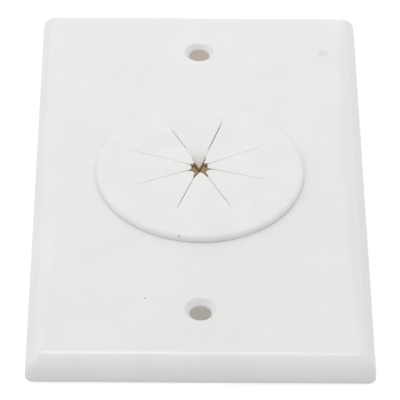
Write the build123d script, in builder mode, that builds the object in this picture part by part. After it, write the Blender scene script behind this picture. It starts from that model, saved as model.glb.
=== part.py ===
from build123d import *
from math import hypot
import os

# Grommet wall plate for a single-gang box, lying on its back rim: a hollow moulded plate and
# the flexible slit grommet that snaps into its round hole.
# Origin: centre of the plate on the plane of its back rim. +X across, +Y along, +Z out of the face.

# Plate
plate_width = 69.85
plate_length = 114.3
face_end = 5.0            # height of the face where it meets the edge of a short side
face_rise = 1.05          # how much higher the crowned face is at its middle
web = 1.75                # thickness of the face
rim = 1.9                 # thickness of the wall at the back rim
seat_hole = 38.1          # diameter of the hole that holds the grommet

# Edge of the plate: a short upright foot, a wide roll and a gentle bevel that eases into the face
edge_in = 3.0             # how far the edge of a short side reaches in
edge_slope = 0.6          # rise of the bevel for each millimetre inwards
edge_roll = 4.0           # radius from the foot to the bevel
crease_roll = 4.0         # radius from the bevel of a short side to the face
ease_roll = 5.0           # radius from the bevel of a long side to the level over the face
ease_lift = 0.1           # height of that level over the middle, so that the face still cuts it
edge_corner = 1.8         # radius that rounds the four corners and the long sides of the face
cavity_corner = 1.2

# Countersunk holes for two oval head screws
screw_spacing = 83.34
screw_hole = 4.5
screw_head = 6.8
screw_angle = 90
screw_lift = 0.15         # lifts the cone, so that the sloping face cuts it all round
screw_edge = 0.25         # radius that softens the edge of the countersink

# Stiffening ribs behind the face: two along the plate and two across it
rib = 1.2
rib_depth = 1.5
rib_x = 25.0
rib_y = 30.0

# Grommet, with heights counted from the top of the crowned face
flange = 44.1
flange_flat = 32.0        # diameter of the flat middle
flange_crown = 1.45
flange_edge = 1.05
flange_roll = 1.0
neck_play = 0.05          # gap between the neck and the plate's hole
lip = 41.0                # diameter of the lip behind the face
lip_play = 0.2            # gap between the lip and the back of the face
lip_band = 0.8
lip_back = 0.8            # height of the grommet's back end over the plane of the rim
throat = 33.0
membrane = 1.25
root_taper = 0.9          # how far the flaps thicken where they bend

# Slits that part the membrane into flaps, and the opening between the tips of the flaps
flaps = 8
slit_turn = 26.3          # angle of the first slit from +X
slit_reach = 15.2
slit_outer = 0.10         # width of a slit at its outer end
slit_inner = 0.60         # width of a slit at the middle
tip_hole = 3.7

half_x = plate_width / 2
half_y = plate_length / 2
face_top = face_end + face_rise
crease_y = half_y - edge_in
face_radius = (crease_y**2 + face_rise**2) / (2 * face_rise)

# Height where the bevel would meet the upright side, outside and in the cavity behind it
shoulder = face_end - edge_slope * edge_in
cavity_shoulder = shoulder + edge_slope * rim - web * hypot(1, edge_slope)


def face_height(y):
    """Height of the crowned face at the distance y from the middle of the plate."""
    return face_top - face_radius + (face_radius**2 - y**2) ** 0.5


def crowned_view(depth):
    """Side view of all that lies under the crowned face, at the given depth below it."""
    end = face_height(half_y) - depth
    with BuildSketch(Plane.YZ) as side:
        with BuildLine():
            ThreePointArc((-half_y, end), (0, face_top - depth), (half_y, end))
            Polyline((half_y, end), (half_y, 0), (-half_y, 0), (-half_y, end))
        make_face()
    return side.sketch


def along_view(inset, depth, bend):
    """Side view of a block inside the plate. Its ends turn at the height bend into bevels."""
    reach = half_y - inset
    crease = reach - (face_end - depth - bend) / edge_slope
    crease_height = face_height(crease) - depth
    with BuildSketch(Plane.YZ) as view:
        with BuildLine():
            ThreePointArc((-crease, crease_height), (0, face_top - depth), (crease, crease_height))
            Polyline(
                (crease, crease_height),
                (reach, bend),
                (reach, 0),
                (-reach, 0),
                (-reach, bend),
                (-crease, crease_height),
            )
        make_face()
        fillet(view.vertices().group_by(Axis.Y)[1], edge_roll - inset)
        fillet(view.vertices().group_by(Axis.Y)[-1], crease_roll - depth)
    return view.sketch


def across_view(inset, depth, bend):
    """End view of the same block. The bevels of its long sides ease into a level over the face."""
    reach = half_x - inset
    top = face_top + ease_lift - depth
    top_reach = reach - (top - bend) / edge_slope
    with BuildSketch(Plane.XZ) as view:
        with BuildLine():
            Polyline(
                (-reach, 0),
                (reach, 0),
                (reach, bend),
                (top_reach, top),
                (-top_reach, top),
                (-reach, bend),
                close=True,
            )
        make_face()
        fillet(view.vertices().group_by(Axis.Y)[1], edge_roll - inset)
        fillet(view.vertices().group_by(Axis.Y)[-1], ease_roll - depth)
    return view.sketch


def rounded_block(inset, depth, bend, corner):
    """Crowned block with rounded edges, the given distances inside the plate's outline and face."""
    reach_x = half_x - inset
    reach_y = half_y - inset

    def on_mitre(edge):
        """Whether the edge lies in one of the four upright planes that halve the corners."""
        middle = edge.center()
        return abs((reach_x - abs(middle.X)) - (reach_y - abs(middle.Y))) < 0.01

    with BuildPart() as block:
        extrude(along_view(inset, depth, bend), reach_x, both=True)
        extrude(across_view(inset, depth, bend), reach_y, both=True, mode=Mode.INTERSECT)
        fillet(block.edges().filter_by(on_mitre), corner)
    return block.part


# Ribs behind the face, trimmed to the same depth below it along their whole length
with BuildPart() as ribs:
    with BuildSketch(Plane.XY):
        with Locations((-rib_x, 0), (rib_x, 0)):
            Rectangle(rib, plate_length)
        with Locations((0, -rib_y), (0, rib_y)):
            Rectangle(2 * rib_x, rib)
    extrude(amount=face_top)
    extrude(crowned_view(web + rib_depth), half_x, both=True, mode=Mode.SUBTRACT)

# The space behind the face, around the ribs
with BuildPart() as hollow:
    add(rounded_block(rim, web, cavity_shoulder, cavity_corner))
    add(ribs.part, mode=Mode.SUBTRACT)

with BuildPart() as wall_plate:
    add(rounded_block(0, 0, shoulder, edge_corner))

    # Countersunk screw holes with softened edges
    screw_y = screw_spacing / 2
    screw_z = face_height(screw_y) + screw_lift
    with Locations((0, -screw_y, screw_z), (0, screw_y, screw_z)):
        CounterSinkHole(screw_hole / 2, screw_head / 2, 2 * web, screw_angle)
    cones = wall_plate.faces().filter_by(GeomType.CONE)
    cones = cones.filter_by_position(Axis.X, -screw_head, screw_head)
    fillet([cone.edges().sort_by(Axis.Z)[-1] for cone in cones], screw_edge)

    # Space behind the face, and the hole for the grommet
    add(hollow.part, mode=Mode.SUBTRACT)
    with BuildSketch(Plane.XY):
        Circle(seat_hole / 2)
    extrude(amount=face_top, mode=Mode.SUBTRACT)
wall_plate.part.label = "wall_plate"


# Profile of the grommet's flange: flat in the middle, falling to a rounded edge
with BuildSketch(Plane.XZ) as flange_profile:
    with BuildLine():
        crown_line = Line((0, face_top + flange_crown), (flange_flat / 2, face_top + flange_crown))
        fall = TangentArc(crown_line @ 1, (flange / 2, face_top + flange_edge), tangent=crown_line % 1)
        Polyline(fall @ 1, (flange / 2, face_end), (0, face_end), crown_line @ 0)
    make_face()
    fillet(flange_profile.vertices().group_by(Axis.X)[-1].sort_by(Axis.Y)[-1], flange_roll)

# Profile of the neck and of the lip that snaps in behind the face
neck = seat_hole / 2 - neck_play
lip_top = face_height(lip / 2) - web - lip_play
with BuildSketch(Plane.XZ) as neck_profile:
    with BuildLine():
        Polyline(
            (0, face_top + flange_edge / 2),
            (neck, face_top + flange_edge / 2),
            (neck, lip_top),
            (lip / 2, lip_top),
            (lip / 2, lip_top - lip_band),
            (neck, lip_back),
            (0, lip_back),
            close=True,
        )
    make_face()

# Profile of the throat, tapered at the root where the flaps bend
throat_top = face_top + flange_crown - membrane
with BuildSketch(Plane.XZ) as throat_profile:
    with BuildLine():
        Polyline((0, 0), (throat / 2, 0), (throat / 2, throat_top), (0, throat_top), close=True)
    make_face()
    chamfer(throat_profile.vertices().group_by(Axis.X)[-1].sort_by(Axis.Y)[-1], root_taper)

with BuildPart() as grommet:
    revolve(flange_profile.sketch, Axis.Z)
    # The soft flange lies close on the crowned face
    extrude(crowned_view(0), half_x, both=True, mode=Mode.SUBTRACT)
    revolve(neck_profile.sketch, Axis.Z)
    revolve(throat_profile.sketch, Axis.Z, mode=Mode.SUBTRACT)

    # Slits that narrow from the middle outwards
    with BuildSketch(Plane.XY.offset(lip_back)):
        Circle(tip_hole / 2)
        with PolarLocations(0, flaps, start_angle=slit_turn):
            Polygon(
                (0, -slit_inner / 2),
                (slit_reach, -slit_outer / 2),
                (slit_reach, slit_outer / 2),
                (0, slit_inner / 2),
                align=None,
            )
    extrude(amount=face_top + flange_crown, mode=Mode.SUBTRACT)
grommet.part.label = "grommet"

os.makedirs("parts", exist_ok=True)
export_step(wall_plate.part, "parts/wall_plate.step")
export_step(grommet.part, "parts/grommet.step")
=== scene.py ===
from math import atan2, cos, pi, radians, sin

import bmesh
import bpy
import numpy as np
from mathutils import Matrix, Vector


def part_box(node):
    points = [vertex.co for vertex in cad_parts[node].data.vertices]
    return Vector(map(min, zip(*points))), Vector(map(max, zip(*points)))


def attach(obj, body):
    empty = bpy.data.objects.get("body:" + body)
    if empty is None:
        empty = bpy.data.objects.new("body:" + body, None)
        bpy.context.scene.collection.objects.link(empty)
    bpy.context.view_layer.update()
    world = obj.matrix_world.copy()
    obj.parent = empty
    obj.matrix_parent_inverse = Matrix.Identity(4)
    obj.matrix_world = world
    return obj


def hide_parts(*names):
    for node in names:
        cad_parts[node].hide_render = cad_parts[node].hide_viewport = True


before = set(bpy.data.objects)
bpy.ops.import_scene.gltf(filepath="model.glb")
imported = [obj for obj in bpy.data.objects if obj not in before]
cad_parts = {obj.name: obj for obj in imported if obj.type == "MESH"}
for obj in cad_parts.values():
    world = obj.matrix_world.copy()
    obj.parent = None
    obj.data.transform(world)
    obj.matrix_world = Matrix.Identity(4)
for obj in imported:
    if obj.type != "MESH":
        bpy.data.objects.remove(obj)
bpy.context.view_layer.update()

bl_info = {
    "name": "Grommet wall plate",
    "version": (1, 0, 0),
    "blender": (4, 5, 0),
    "location": "3D View > Sidebar > Wall Plate",
    "description": "Dresses a single-gang wall plate and its slit grommet around the packed model",
    "category": "Object",
}

MM = 0.001
PLATE_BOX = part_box("wall_plate")
GROMMET_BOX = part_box("grommet")


def in_mm(metres):
    """Metres of the frame as millimetres, rounded to a thousandth."""
    return round(metres / MM, 3)


# The crowned face of the plate, in millimetres
FACE_TOP = in_mm(PLATE_BOX[1].z)
FACE_RISE = 1.05
EDGE_IN = 3.0             # how far the edge of a short side reaches in
CREASE_Y = in_mm(PLATE_BOX[1].y) - EDGE_IN
FACE_RADIUS = (CREASE_Y**2 + FACE_RISE**2) / (2 * FACE_RISE)


def face_height(y):
    """Height of the plate's face: a shallow arc along the plate, highest at its middle."""
    return FACE_TOP - FACE_RADIUS + np.sqrt(FACE_RADIUS**2 - y**2)


class Field:
    """A shader socket that adds a Math node when it is used in an expression."""

    def __init__(self, surface, socket):
        self.surface = surface
        self.socket = socket

    def math(self, operation, first, second):
        """Result of a Math node on two fields or numbers."""
        return self.surface.add("ShaderNodeMath", {"operation": operation}, {0: first, 1: second})

    def __add__(self, other):
        return self.math("ADD", self, other)

    def __radd__(self, other):
        return self.math("ADD", other, self)

    def __sub__(self, other):
        return self.math("SUBTRACT", self, other)

    def __rsub__(self, other):
        return self.math("SUBTRACT", other, self)

    def __mul__(self, other):
        return self.math("MULTIPLY", self, other)

    def __rmul__(self, other):
        return self.math("MULTIPLY", other, self)


class Surface:
    """One node material, built by adding nodes to it."""

    def __init__(self, name):
        self.material = bpy.data.materials.new(name)
        self.material.use_nodes = True
        self.tree = self.material.node_tree
        self.tree.nodes.clear()

    def add(self, kind, settings=None, inputs=None, output=0):
        """Adds a node of a type, with its settings and the values or links of its sockets."""
        node = self.tree.nodes.new(kind)
        for name, value in (settings or {}).items():
            setattr(node, name, value)
        for key, value in (inputs or {}).items():
            if isinstance(value, Field):
                self.tree.links.new(value.socket, node.inputs[key])
            else:
                node.inputs[key].default_value = value
        return Field(self, node.outputs[output])

    def place(self):
        """Object coordinates in millimetres."""
        here = self.add("ShaderNodeTexCoord", output=3)
        return self.add("ShaderNodeMapping", None, {"Vector": here, "Scale": (1 / MM,) * 3})

    def noise(self, place, size, detail):
        """Soft noise from 0 to 1, with features of about the given size in millimetres."""
        return self.add(
            "ShaderNodeTexNoise", None, {"Vector": place, "Scale": 1 / size, "Detail": detail},
        )

    def ramp(self, value, low, high, start=0.0, end=1.0):
        """Value taken smoothly from the range low to high onto the range start to end."""
        return self.add(
            "ShaderNodeMapRange", {"interpolation_type": "SMOOTHSTEP"},
            {"Value": value, "From Min": low, "From Max": high, "To Min": start, "To Max": end},
        )

    def mix(self, factor, first, second):
        """Colour mixed from the first to the second by the factor."""
        return self.add(
            "ShaderNodeMix", {"data_type": "RGBA"}, {0: factor, 6: first, 7: second}, output=2,
        )

    def spot(self, place, x, y, radius, softness, ragged):
        """Mask of a round mark seen from above: 1 inside the radius, 0 past its soft edge."""
        flat = self.add(
            "ShaderNodeVectorMath", {"operation": "MULTIPLY"}, {0: place, 1: (1.0, 1.0, 0.0)},
        )
        away = self.add(
            "ShaderNodeVectorMath", {"operation": "DISTANCE"}, {0: flat, 1: (x, y, 0.0)}, output=1,
        )
        away = away + (self.noise(place, 2.2 * radius, 3.0) - 0.5) * (2 * ragged)
        return self.ramp(away, radius, radius + softness, 1.0, 0.0)

    def clouded(self, place, colour, size, detail, darker):
        """The colour, taken down by a factor in soft clouds of the given size in millimetres."""
        clouds = self.noise(place, size, detail)
        shade = tuple(darker * part for part in colour) + (1.0,)
        return self.mix(self.ramp(clouds, 0.35, 0.65), tuple(colour) + (1.0,), shade)

    def marked(self, place, paint, marks, ragged):
        """The paint with its marks. Their outline strays by the given share of their radius."""
        for x, y, radius, softness, strength, tint in marks:
            mask = self.spot(place, x, y, radius, softness, ragged * radius) * strength
            paint = self.mix(mask, paint, tint + (1.0,))
        return paint

    def grained(self, grain, roughness, spread):
        """Roughness that varies with the grain, by the spread to both sides."""
        return self.ramp(grain, 0.2, 0.8, roughness - spread, roughness + spread)

    def finish(self, colour, roughness, height, bump_strength, bump_depth, ior):
        """Ends the tree in a Principled shader with a bump, and returns the material."""
        bump = self.add(
            "ShaderNodeBump", None,
            {"Strength": bump_strength, "Distance": bump_depth * MM, "Height": height},
        )
        sockets = {"Base Color": colour, "Roughness": roughness, "Normal": bump, "IOR": ior}
        return self.end(self.add("ShaderNodeBsdfPrincipled", None, sockets))

    def end(self, shader):
        """Links a shader to the material's output, and returns the material."""
        out = self.tree.nodes.new("ShaderNodeOutputMaterial")
        self.tree.links.new(shader.socket, out.inputs["Surface"])
        return self.material


# Marks seen from above: place, radius and softness in millimetres, strength and colour
PLATE_MARKS = [
    (27.4, 41.5, 1.0, 0.3, 0.55, (0.66, 0.62, 0.63)),         # gate of the mould
    (-11.2, -38.6, 0.14, 0.10, 0.7, (0.15, 0.15, 0.15)),      # dust
]
RUBBER_SPECKS = [
    (2.6, 18.3, 0.10, 0.12, 0.35, (0.35, 0.35, 0.35)),
    (2.9, 18.5, 0.08, 0.12, 0.30, (0.35, 0.35, 0.35)),
    (-2.8, -19.7, 0.06, 0.12, 0.55, (0.20, 0.20, 0.20)),
    (-4.4, -21.35, 0.08, 0.10, 0.9, (0.06, 0.06, 0.06)),
    (11.5, -12.0, 0.16, 0.16, 0.25, (0.35, 0.35, 0.34)),
]

# Painted shade on the flaps' cut faces, a warm half-shade and a deep shade in the slits' depth, and
# the ranges of the attribute cut over which each sets in
CUT_PAINTED_WARM_SHADE = (0.62, 0.47, 0.37, 1.0)
CUT_PAINTED_DEEP_SHADE = (0.10, 0.055, 0.03, 1.0)
PAINTED_WARM_SHADE_FROM, PAINTED_WARM_SHADE_TO = 0.02, 0.30
PAINTED_DEEP_SHADE_FROM, PAINTED_DEEP_SHADE_TO = 0.35, 0.95


def moulded_plastic(colour, roughness):
    """White moulded plastic with a very fine grain, faint clouds, a gate mark and a dust speck."""
    skin = Surface("plate_plastic")
    place = skin.place()
    grain = skin.noise(place, 0.16, 2.0)
    paint = skin.clouded(place, colour, 14.0, 2.0, 0.975)
    paint = skin.marked(place, paint, PLATE_MARKS, 0.25)
    return skin.finish(paint, skin.grained(grain, roughness, 0.04), grain, 0.12, 0.012, 1.5)


def soft_rubber(colour, roughness):
    """White flexible rubber: matt, a little cloudy, with a dusty grain, specks and painted shade on
    the cut faces.
    """
    skin = Surface("grommet_rubber")
    place = skin.place()
    grain = skin.noise(place, 0.22, 3.0)
    paint = skin.clouded(place, colour, 7.0, 3.0, 0.965)
    paint = skin.marked(place, paint, RUBBER_SPECKS, 0.3)
    # Painted shade: the cut faces turn warm tan, then deep brown where the attribute cut is high
    cut = skin.add("ShaderNodeAttribute", {"attribute_name": "cut"}, output=2)
    paint = skin.mix(skin.ramp(cut, PAINTED_WARM_SHADE_FROM, PAINTED_WARM_SHADE_TO), paint, CUT_PAINTED_WARM_SHADE)
    paint = skin.mix(skin.ramp(cut, PAINTED_DEEP_SHADE_FROM, PAINTED_DEEP_SHADE_TO), paint, CUT_PAINTED_DEEP_SHADE)
    return skin.finish(paint, skin.grained(grain, roughness, 0.06), grain, 0.2, 0.02, 1.45)


def rounded(points, radii, steps=5):
    """Outline with an arc at each inner corner, which it meets radius / tan(half angle) away."""
    points = np.array(points, float)
    pieces = [points[:1]]
    for before, corner, after, radius in zip(points, points[1:], points[2:], radii):
        into = (before - corner) / np.linalg.norm(before - corner)
        out = (after - corner) / np.linalg.norm(after - corner)
        half = np.arccos(np.clip(into @ out, -1, 1)) / 2
        middle = corner + (into + out) / np.linalg.norm(into + out) * radius / np.sin(half)
        start = corner + into * radius / np.tan(half) - middle
        end = corner + out * radius / np.tan(half) - middle
        turn = atan2(start[0] * end[1] - start[1] * end[0], start @ end)
        angle = np.linspace(0, turn, steps)[:, None]
        across = np.array((-start[1], start[0]))
        pieces.append(middle + start * np.cos(angle) + across * np.sin(angle))
    pieces.append(points[-1:])
    return np.concatenate(pieces)


def grid_faces(rows, columns):
    """Quads between neighbours of a grid of vertices that is stored row by row."""
    corner = np.arange(rows - 1)[:, None] * columns + np.arange(columns - 1)
    corner = corner.ravel()
    return np.stack((corner, corner + 1, corner + columns + 1, corner + columns), 1)


MERGE = 0.0004            # points that are closer than this are one, in millimetres


def solid_from(name, points, faces, cut, crease):
    """Mesh piece from millimetre points and quads, with doubles merged and faces turned outwards.

    Edges sharper than the angle crease stay sharp. Every point has a value of the attribute cut,
    which is above 0 on the faces that a cut has left and sets how much painted shade they get."""
    mesh = bpy.data.meshes.new(name)
    mesh.from_pydata(points * MM, [], faces)
    mesh.attributes.new("cut", "FLOAT", "POINT").data.foreach_set("value", cut)
    work = bmesh.new()
    work.from_mesh(mesh)
    bmesh.ops.remove_doubles(work, verts=work.verts, dist=MERGE * MM)
    bmesh.ops.dissolve_degenerate(work, edges=work.edges, dist=MERGE * MM)
    bmesh.ops.recalc_face_normals(work, faces=work.faces)
    work.to_mesh(mesh)
    work.free()
    mesh.shade_smooth()
    mesh.set_sharp_from_angle(angle=crease)
    piece = bpy.data.objects.new(name, mesh)
    bpy.context.scene.collection.objects.link(piece)
    return piece


FLAPS = 8


class GrommetShape(bpy.types.PropertyGroup):
    """Sizes of the slit grommet, in millimetres unless a unit is given."""

    slit_turns: bpy.props.FloatVectorProperty(
        name="Slit directions", description="Angle of each slit from the X axis, in degrees",
        size=FLAPS, default=(26.8, 71.9, 116.4, 160.5, 204.3, 250.2, 296.7, 343.4),
    )
    slit_reaches: bpy.props.FloatVectorProperty(
        name="Slit reaches", description="Length of each slit from the middle",
        size=FLAPS, default=(15.3, 16.1, 14.1, 16.2, 15.0, 14.7, 14.9, 15.1),
    )
    slit_gaps: bpy.props.FloatVectorProperty(
        name="Slit gaps", description="Width of each slit along most of its length",
        size=FLAPS, default=(0.03, 0.18, 0.14, 0.03, 0.05, 0.13, 0.10, 0.06),
    )
    tip_places: bpy.props.FloatVectorProperty(
        name="Tip places",
        description="Distance from the middle to the centre of each flap's round tip",
        size=FLAPS, default=(2.10, 2.30, 2.45, 2.75, 3.05, 2.50, 2.80, 2.35),
    )
    droops: bpy.props.FloatVectorProperty(
        name="Droops", description="How far the tip of each flap hangs down",
        size=FLAPS, default=(0.0, 2.25, 0.12, 0.12, 0.20, 0.0, 0.12, 0.05),
    )
    centre_y: bpy.props.FloatProperty(
        name="Slit centre", description="How far the slits' centre lies from the plate's centre",
        default=0.27,
    )
    slit_flares: bpy.props.FloatVectorProperty(
        name="Slit flares",
        description="How much both sides of each slit would draw back at the middle itself",
        size=FLAPS, default=(0.10, 0.85, 1.00, 0.10, 0.12, 1.12, 0.88, 0.14),
    )
    flare_length: bpy.props.FloatProperty(
        name="Flare length", description="Distance from the middle at which the flare ends",
        default=3.9,
    )
    edge: bpy.props.FloatProperty(
        name="Edge radius", description="Radius of the flaps' edges", default=0.14,
    )
    membrane: bpy.props.FloatProperty(
        name="Membrane", description="Thickness of the flaps", default=1.25,
    )
    throat: bpy.props.FloatProperty(
        name="Throat", description="Inner diameter behind the flaps", default=33.0,
    )
    root: bpy.props.FloatProperty(
        name="Root radius", description="Radius where the flaps meet the throat", default=0.9,
    )
    flat: bpy.props.FloatProperty(
        name="Flat middle", description="Diameter of the flat part of the top", default=32.0,
    )
    fall: bpy.props.FloatProperty(
        name="Fall", description="How much lower the flange ends than its middle", default=0.4,
    )
    roll: bpy.props.FloatProperty(
        name="Edge roll", description="Radius of the flange's upper edge", default=0.88,
    )
    foot: bpy.props.FloatProperty(
        name="Foot radius", description="Radius of the flange's lower edge on the face",
        default=0.17,
    )
    neck: bpy.props.FloatProperty(
        name="Neck", description="Diameter of the neck in the plate's hole", default=38.0,
    )
    lip: bpy.props.FloatProperty(
        name="Lip", description="Diameter of the lip behind the face", default=41.0,
    )


# Sizes of the grommet, in millimetres
TOP = in_mm(GROMMET_BOX[1].z)
BACK = in_mm(GROMMET_BOX[0].z)
FLANGE = in_mm(GROMMET_BOX[1].x)
ROOT_RING = 16.35         # where the flaps join the ring, past every slit
SLIT_FADE = 3.0           # length over which a slit closes at its outer end
BEND = 9.0                # distance from the middle where a flap starts to hang
TIP_SHARE = 0.7           # where a hanging tip is reached, as a share of its tip place
WEB = 1.75                # thickness of the plate's face
LIP_PLAY = 0.2            # gap between the lip and the back of the face
LIP_BAND = 0.8            # height of the lip's upright band
LOWER_ROUNDS = (0.15, 0.2, 0.3, 0.3, 0.25)    # radii from the neck's foot to the throat's mouth

# How far the painted shade on the cut faces reaches: full on the wall, faint on the edge above it,
# and fading from full near the middle to the least share at the far distance
CUT_ABOVE = 0.12
CUT_FAR = 6.0
CUT_FADE = 3.0
CUT_LEAST = 0.25

# Divisions of the surfaces
COLUMNS = 14              # from a flap's edge to its middle line
SIDE_STEPS = 30           # along a slit
TIP_STEPS = 16            # round a flap's tip


def crown_radius(shape):
    """Radius of the arc that falls from the flat middle to the flange's edge."""
    reach = FLANGE - shape.flat / 2
    return (reach**2 + shape.fall**2) / (2 * shape.fall)


def top_height(shape, r):
    """Height of the grommet's top: flat in the middle, then a shallow arc down to the edge."""
    radius = crown_radius(shape)
    past = np.clip(r - shape.flat / 2, 0, None)
    return TOP - radius + np.sqrt(radius**2 - past**2)


def under_height(shape, r):
    """Height of the flaps' underside: flat, then a quarter round down into the throat's wall."""
    start = shape.throat / 2 - shape.root
    past = np.clip(r - start, 0, shape.root)
    return TOP - shape.membrane - shape.root + np.sqrt(shape.root**2 - past**2)


def slits_beside(shape, index):
    """Angles of the two slits beside a flap, the second one past the first."""
    low, high = (radians(shape.slit_turns[slit % FLAPS]) for slit in (index, index + 1))
    return low, high + (2 * pi if high < low else 0)


def flap_outline(shape, index):
    """One flap's outline from root to tip and back, in polar form about the slits' centre.

    Both sides follow their slit at half its gap plus flare times (1 - r / flare length), and close
    it at its outer end by the root of the way left. The tip is an arc about a point on the middle
    line. Each outline point has a point of the middle line that it is drawn towards. Returns
    radius and angle of both, the edge radius and whether the slit is open there."""
    low, high = slits_beside(shape, index)
    middle, half = (low + high) / 2, (high - low) / 2
    centre = shape.tip_places[index]
    foot = centre * cos(half)

    def side(slit):
        """Way along a slit, the flap's distance from it, the edge radius and the open points."""
        reach, gap = shape.slit_reaches[slit], shape.slit_gaps[slit]
        flare = shape.slit_flares[slit]
        outer = np.linspace(ROOT_RING, reach, 4)
        inner = foot + (reach - foot) * (1 - np.linspace(0, 1, SIDE_STEPS)[1:]) ** 1.5
        along = np.concatenate((outer, inner))
        fade = np.sqrt(np.clip((reach - along) / SLIT_FADE, 0, 1))
        gap_here = fade * (gap / 2 + flare * np.clip(1 - along / shape.flare_length, 0, 1))
        return along, gap_here, shape.edge * fade, along < reach + 1e-6

    first, second = side(index), side((index + 1) % FLAPS)
    mean = (first[0] + second[0]) / 2
    spine_r = ROOT_RING + (mean - ROOT_RING) * (ROOT_RING - centre) / (ROOT_RING - foot)
    radius = centre * sin(half) - (first[1][-1] + second[1][-1]) / 2
    arc = np.linspace(-(pi / 2 + half), -(3 * pi / 2 - half), TIP_STEPS)[1:-1]
    arc_x, arc_y = centre + radius * np.cos(arc), radius * np.sin(arc)
    r = np.concatenate((
        np.hypot(first[0], first[1]), np.hypot(arc_x, arc_y), np.hypot(second[0], second[1])[::-1],
    ))
    angle = np.concatenate((
        np.arctan2(first[1], first[0]) - half, np.arctan2(arc_y, arc_x),
        (half - np.arctan2(second[1], second[0]))[::-1],
    ))
    tips = len(arc)
    spine_all = np.concatenate((spine_r, np.full(tips, centre), spine_r[::-1]))
    edge = np.concatenate((first[2], np.full(tips, shape.edge), second[2][::-1]))
    open_row = np.concatenate((first[3], np.full(tips, True), second[3][::-1]))
    return r, middle + angle, spine_all, np.full(len(r), middle), edge, open_row


def flap_surface(shape, index):
    """One flap: its outline swept through a section of underside, rounded wall and top.

    A point lies between the outline and the middle line at a share g, both in polar form. The
    section runs g from 1 to 0 below, up the wall with a quarter round at both ends, and g from 0
    to 1 above. The flap hangs by droop times the square of the way in from where it bends. The
    value cut, the mask of the painted shade on the cut faces, rises with the sine round the lower
    edge to the wall, drops to a faint share on the upper edge, and falls off away from the middle."""
    r, angle, spine_r, spine_angle, edge, open_row = flap_outline(shape, index)
    width = np.hypot(r * np.cos(angle - spine_angle) - spine_r, r * np.sin(angle - spine_angle))
    share = np.linspace(0, 1, COLUMNS + 1)
    quarter = np.linspace(0, pi / 2, 5)
    inset = (edge / width)[:, None]
    round_g = inset * (1 - np.sin(quarter))
    round_z = edge[:, None] * (1 - np.cos(quarter))
    sheet_g = inset + (1 - inset) * share[1:]
    g = np.concatenate((sheet_g[:, ::-1], round_g, round_g[:, ::-1], sheet_g), 1)
    up = np.concatenate((np.zeros_like(sheet_g), round_z), 1)
    down = up[:, ::-1]
    plan_r = r[:, None] + (spine_r - r)[:, None] * g
    plan_angle = angle[:, None] + (spine_angle - angle)[:, None] * g
    below = under_height(shape, plan_r[:, : up.shape[1]]) + up
    above = top_height(shape, plan_r[:, up.shape[1]:]) - down
    tip = shape.tip_places[index] * TIP_SHARE
    way = np.clip((BEND - plan_r) / (BEND - tip), 0, None) ** 2
    height = np.concatenate((below, above), 1) - shape.droops[index] * way
    points = np.stack((
        plan_r * np.cos(plan_angle), shape.centre_y + plan_r * np.sin(plan_angle), height,
    ), 2)
    # The value cut is the mask of the painted shade on the cut faces
    turn, sheet = np.sin(quarter), np.zeros(COLUMNS)
    depth = np.concatenate((sheet, turn, CUT_ABOVE * turn[::-1], sheet))
    near = CUT_LEAST + (1 - CUT_LEAST) * np.clip((CUT_FAR - plan_r) / CUT_FADE, 0, 1)
    cut = depth * near * (edge / shape.edge)[:, None]
    rows, columns = height.shape
    faces = grid_faces(rows, columns).reshape(rows - 1, columns - 1, 4)
    wall = np.arange(columns - 1) == up.shape[1] - 1
    keep = (open_row[:-1] & open_row[1:])[:, None] | ~wall
    return points.reshape(-1, 3), faces[keep], cut.ravel()


def ring_surface(shape):
    """Everything outside the flaps: a closed profile turned round the grommet's axis.

    The profile runs over the top, round the flange's edge, in along the face, down the neck, round
    the lip, across the back and up the throat. The stretch on the face follows its height, so the
    profile's points carry a share by which they do. Its two ends meet the flaps on the root ring,
    which stands about the slits' centre, and the offset fades towards the flange."""
    share = np.linspace(0, 1, COLUMNS + 1)[:-1]
    angle = []
    for index in range(FLAPS):
        low, high = slits_beside(shape, index)
        middle = (low + high) / 2
        angle += [low + (middle - low) * share, middle + (high - middle) * share]
    angle = np.concatenate(angle + [angle[0][:1] + 2 * pi])

    slope = np.arcsin((FLANGE - shape.roll - shape.flat / 2) / crown_radius(shape))
    roll = np.linspace(pi / 2 - slope, 0, 8)
    roll_x = FLANGE - shape.roll + shape.roll * np.cos(roll)
    roll_z = top_height(shape, roll_x[0]) + shape.roll * (np.sin(roll) - np.sin(roll[0]))
    crown_r = np.linspace(ROOT_RING, roll_x[0], 9)[:-1]
    foot = np.linspace(0, pi / 2, 5)
    foot_x = FLANGE - shape.foot + shape.foot * np.cos(foot)
    foot_z = FACE_TOP + shape.foot * (1 - np.sin(foot))

    neck, lip = shape.neck / 2, shape.lip / 2
    lip_top = float(face_height(lip)) - WEB - LIP_PLAY
    throat, throat_top = shape.throat / 2, TOP - shape.membrane - shape.root
    lower = rounded(
        [(neck, lip_top + 1.0), (neck, lip_top), (lip, lip_top), (lip, lip_top - LIP_BAND),
         (neck, BACK), (throat, BACK), (throat, throat_top)],
        LOWER_ROUNDS,
    )
    root_r = np.linspace(throat, ROOT_RING, 4)[1:]

    r = np.concatenate((crown_r, roll_x, foot_x, [neck + 1.5, neck], lower[:, 0], root_r))
    z = np.concatenate((
        top_height(shape, crown_r), roll_z, foot_z, [FACE_TOP] * 2, lower[:, 1],
        under_height(shape, root_r),
    ))
    on_face = np.concatenate((
        np.zeros(len(crown_r) + len(roll_x)), np.ones(len(foot) + 2),
        np.zeros(len(lower) + len(root_r)),
    ))
    offset = shape.centre_y * np.clip((throat - r) / (throat - ROOT_RING), 0, 1)
    x = r * np.cos(angle)[:, None]
    y = r * np.sin(angle)[:, None] + offset
    height = z + on_face * (face_height(y) - FACE_TOP)
    points = np.stack((x, y, height), 2)
    return points.reshape(-1, 3), grid_faces(*height.shape)


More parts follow.
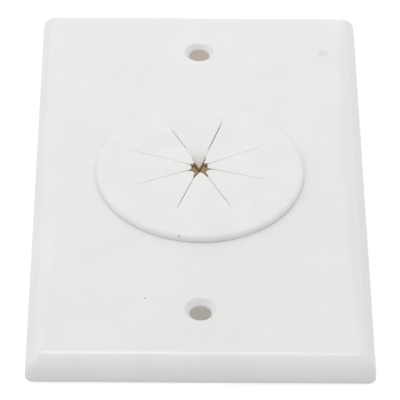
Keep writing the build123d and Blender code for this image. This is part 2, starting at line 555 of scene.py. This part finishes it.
class GROMMETPLATE_OT_make_grommet(bpy.types.Operator):
    """Make the flexible grommet with its eight flaps"""

    bl_idname = "grommetplate.make_grommet"
    bl_label = "Make Grommet"

    def execute(self, context):
        shape = context.scene.grommet_shape
        look = context.scene.grommet_look
        points, faces = ring_surface(shape)
        points, faces, cuts = [points], [faces], [np.zeros(len(points))]
        for index in range(FLAPS):
            more, quads, cut = flap_surface(shape, index)
            faces.append(quads + sum(len(part) for part in points))
            points.append(more)
            cuts.append(cut)
        piece = solid_from(
            "slit_grommet", np.concatenate(points), np.concatenate(faces), np.concatenate(cuts),
            radians(40),
        )
        piece.data.materials.append(soft_rubber(look.colour, look.roughness))
        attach(piece, "root")
        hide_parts("grommet")
        return {"FINISHED"}


class PlateLook(bpy.types.PropertyGroup):
    """Finish of the moulded plate."""

    colour: bpy.props.FloatVectorProperty(
        name="Colour", description="Colour of the plastic", subtype="COLOR", size=3,
        min=0.0, max=1.0, default=(0.80, 0.80, 0.795),
    )
    roughness: bpy.props.FloatProperty(
        name="Roughness", description="Roughness of the satin surface",
        min=0.0, max=1.0, default=0.25,
    )


class GrommetLook(bpy.types.PropertyGroup):
    """Finish of the rubber grommet."""

    colour: bpy.props.FloatVectorProperty(
        name="Colour", description="Colour of the rubber", subtype="COLOR", size=3,
        min=0.0, max=1.0, default=(0.82, 0.82, 0.81),
    )
    roughness: bpy.props.FloatProperty(
        name="Roughness", description="Roughness of the matt rubber",
        min=0.0, max=1.0, default=0.6,
    )


class GROMMETPLATE_OT_dress_plate(bpy.types.Operator):
    """Give the moulded wall plate its plastic finish"""

    bl_idname = "grommetplate.dress_plate"
    bl_label = "Dress Wall Plate"

    def execute(self, context):
        look = context.scene.plate_look
        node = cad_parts["wall_plate"]
        plastic = moulded_plastic(look.colour, look.roughness)
        if not node.material_slots:
            node.data.materials.append(plastic)
        node.material_slots[0].material = plastic
        return {"FINISHED"}


class StageLook(bpy.types.PropertyGroup):
    """Place and lens of the camera."""

    elevation: bpy.props.FloatProperty(
        name="Elevation", description="Camera height angle, in degrees", default=41.0766,
    )
    yaw: bpy.props.FloatProperty(
        name="Yaw", description="Turn of the camera about the plate, in degrees", default=-0.7777,
    )
    roll: bpy.props.FloatProperty(
        name="Roll", description="Turn of the picture, in degrees", default=0.8756,
    )
    distance: bpy.props.FloatProperty(
        name="Distance", description="Camera to the aim point", unit="LENGTH", default=0.659330,
    )
    aim: bpy.props.FloatVectorProperty(
        name="Aim", description="Point on the floor that the camera looks at", subtype="XYZ",
        size=3, default=(0.0000826, -0.0019583, 0.0),
    )
    lens: bpy.props.FloatProperty(
        name="Lens", description="Focal length in millimetres for a 36 mm sensor", default=279.953,
    )


FLOOR_HALF = 3.0          # half the floor's width, in metres
FLOOR_DROP = 0.02         # how far the floor lies under the plate, in millimetres
FLOOR_GREY = (0.74, 0.74, 0.74, 1.0)
FLOOR_SEEN = 0.39         # light that the floor adds where the camera sees it
FLOOR_MIRRORED = 0.25     # light that it adds in mirrored and refracted rays

# Colours of the painted glow on the floor under the plate, an emission that is no lamp; it shows
# through the near hole, the slits and the far hole
GLOW_NEAR = (0.40, 0.375, 0.33, 1.0)
GLOW_MIDDLE = (0.30, 0.22, 0.14, 1.0)
GLOW_FAR = (0.485, 0.41, 0.365, 1.0)

WORLD_LIGHT = 0.81        # strength of the white surroundings
WORLD_SEEN = 1.0          # the same, as the camera sees it

# Name, place, width and height in metres, power in watts
LAMPS = (
    ("top_lamp", (-0.05, 0.37, 1.14), 0.33, 0.33, 1.60),
    ("back_lamp", (0.0, 1.20, 0.62), 2.4, 0.8, 2.7),
    ("side_lamp", (-1.0, 0.05, 0.70), 0.8, 0.8, 1.2),
)


class GROMMETPLATE_OT_set_stage(bpy.types.Operator):
    """Set the camera, the pale floor and the soft studio light"""

    bl_idname = "grommetplate.set_stage"
    bl_label = "Set Stage"

    def execute(self, context):
        stage = context.scene.stage_look
        self.set_camera(stage)
        self.set_floor()
        self.set_light()
        return {"FINISHED"}

    def set_camera(self, stage):
        """Camera that looks at the aim point from its distance, height angle, yaw and roll."""
        height, yaw, roll = radians(stage.elevation), radians(stage.yaw), radians(stage.roll)
        back = Vector((sin(yaw) * cos(height), -cos(yaw) * cos(height), sin(height)))
        level = Vector((cos(yaw), sin(yaw), 0.0))
        rise = back.cross(level)
        right = cos(roll) * level + sin(roll) * rise
        up = cos(roll) * rise - sin(roll) * level
        camera = bpy.data.objects.new("camera", bpy.data.cameras.new("camera"))
        camera.data.lens = stage.lens
        camera.data.sensor_width = 36.0
        camera.data.clip_start, camera.data.clip_end = 0.05, 20.0
        turn = Matrix((right, up, back)).transposed().to_4x4()
        place = Vector(stage.aim) + back * stage.distance
        camera.matrix_world = Matrix.Translation(place) @ turn
        bpy.context.scene.collection.objects.link(camera)
        bpy.context.scene.camera = camera

    def set_floor(self):
        """A wide pale floor that looks white, with a painted warm glow under the plate that shows
        through the holes.
        """
        mesh = bpy.data.meshes.new("floor")
        sides = ((-1, -1), (1, -1), (1, 1), (-1, 1))
        corners = [(x * FLOOR_HALF, y * FLOOR_HALF, -FLOOR_DROP * MM) for x, y in sides]
        mesh.from_pydata(corners, [], [(0, 1, 2, 3)])
        floor = bpy.data.objects.new("floor", mesh)
        bpy.context.scene.collection.objects.link(floor)
        paint = Surface("floor")
        axes = paint.add("ShaderNodeSeparateXYZ", None, {"Vector": paint.place()})
        x, y = (Field(paint, axes.socket.node.outputs[axis]) for axis in (0, 1))

        # The glow ends inside the plate's outline, and its colour changes along the plate
        across = paint.ramp(x * x, 32.0**2, 33.0**2, 1.0, 0.0)
        along = paint.ramp(y * y, 54.0**2, 55.0**2, 1.0, 0.0)
        near_half = paint.mix(paint.ramp(y, -34.0, -10.0), GLOW_NEAR, GLOW_MIDDLE)
        warm = paint.mix(paint.ramp(y, 10.0, 46.0), near_half, GLOW_FAR)

        rays = paint.add("ShaderNodeLightPath")
        outputs = rays.socket.node.outputs
        seen, mirrored, through = (
            Field(paint, outputs[f"Is {kind} Ray"])
            for kind in ("Camera", "Glossy", "Transmission")
        )
        added = seen * FLOOR_SEEN + seen.math("MAXIMUM", mirrored, through) * FLOOR_MIRRORED
        pale = paint.add("ShaderNodeBsdfDiffuse", None, {"Color": FLOOR_GREY})
        white = paint.add("ShaderNodeEmission", None, {"Strength": added})
        open_floor = paint.add("ShaderNodeAddShader", None, {0: pale, 1: white})
        # Painted glow: an emission under the plate that lights the plate's hollow from below
        glow = paint.add("ShaderNodeEmission", None, {"Color": warm})
        both = paint.add("ShaderNodeMixShader", None, {0: across * along, 1: open_floor, 2: glow})
        mesh.materials.append(paint.end(both))

    def set_light(self):
        """Even white surroundings, and soft lamps above, behind and at the left."""
        world = bpy.data.worlds.new("studio")
        bpy.context.scene.world = world
        world.use_nodes = True
        tree = world.node_tree
        tree.nodes.clear()
        rays = tree.nodes.new("ShaderNodeLightPath")
        chosen = tree.nodes.new("ShaderNodeMixShader")
        out = tree.nodes.new("ShaderNodeOutputWorld")
        tree.links.new(rays.outputs["Is Camera Ray"], chosen.inputs[0])
        for socket, strength in ((1, WORLD_LIGHT), (2, WORLD_SEEN)):
            white = tree.nodes.new("ShaderNodeBackground")
            white.inputs["Color"].default_value = (1.0, 1.0, 1.0, 1.0)
            white.inputs["Strength"].default_value = strength
            tree.links.new(white.outputs[0], chosen.inputs[socket])
        tree.links.new(chosen.outputs[0], out.inputs[0])
        for name, place, width, height, power in LAMPS:
            lamp = bpy.data.objects.new(name, bpy.data.lights.new(name, "AREA"))
            lamp.data.shape = "RECTANGLE"
            lamp.data.size, lamp.data.size_y = width, height
            lamp.data.energy = power
            lamp.location = place
            lamp.rotation_mode = "QUATERNION"
            lamp.rotation_quaternion = Vector(place).to_track_quat("Z", "Y")
            bpy.context.scene.collection.objects.link(lamp)


class GROMMETPLATE_PT_parts(bpy.types.Panel):
    """Sidebar panel with the parts and the stage"""

    bl_label = "Grommet Wall Plate"
    bl_space_type = "VIEW_3D"
    bl_region_type = "UI"
    bl_category = "Wall Plate"

    def draw(self, context):
        for operator in OPERATORS:
            self.layout.operator(operator.bl_idname)


OPERATORS = (GROMMETPLATE_OT_set_stage, GROMMETPLATE_OT_dress_plate, GROMMETPLATE_OT_make_grommet)
GROUPS = {
    "grommet_shape": GrommetShape,
    "grommet_look": GrommetLook,
    "plate_look": PlateLook,
    "stage_look": StageLook,
}
CLASSES = (*GROUPS.values(), *OPERATORS, GROMMETPLATE_PT_parts)


def register():
    for kind in CLASSES:
        bpy.utils.register_class(kind)
    for name, group in GROUPS.items():
        setattr(bpy.types.Scene, name, bpy.props.PointerProperty(type=group))


def unregister():
    for name in GROUPS:
        delattr(bpy.types.Scene, name)
    for kind in reversed(CLASSES):
        bpy.utils.unregister_class(kind)


def main():
    register()
    bpy.context.scene.view_settings.view_transform = "Standard"
    bpy.ops.grommetplate.set_stage()
    bpy.ops.grommetplate.dress_plate()
    bpy.ops.grommetplate.make_grommet()


if __name__ == "__main__":
    main()
